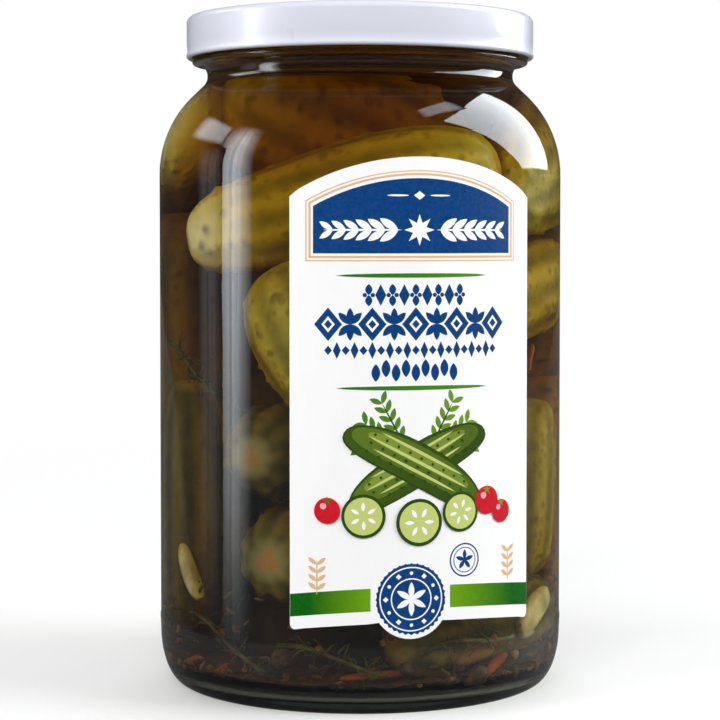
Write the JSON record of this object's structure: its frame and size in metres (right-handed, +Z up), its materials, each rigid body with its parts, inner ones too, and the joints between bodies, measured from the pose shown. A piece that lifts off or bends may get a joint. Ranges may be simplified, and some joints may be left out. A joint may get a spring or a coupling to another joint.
{
  "type": "pickle jar",
  "caption": "Shut glass jar of whole pickled cucumbers in brine, with a screwed-on white metal lid and an arched paper label with a round seal.",
  "frame": {"origin": "middle of the ring that the jar stands on, on the floor plane", "axes": "+Z up along the jar's axis, -Y towards the viewer of the label, +X to the viewer's right"},
  "size_m": [0.0992, 0.0998, 0.1637],
  "materials": {
    "glass": "clear, smooth, with a faint green tint in the thick base",
    "lid_white": "white gloss enamel on tinplate",
    "label_paper": "coated white paper, printed in blue, green and gold",
    "pickle_green": "wet olive-green cucumber skin"
  },
  "bodies": {
    "root": {"glass_jar": "glass", "lid": "lid_white", "label": "label_paper", "pickles": "pickle_green"}
  },
  "joints": []
}
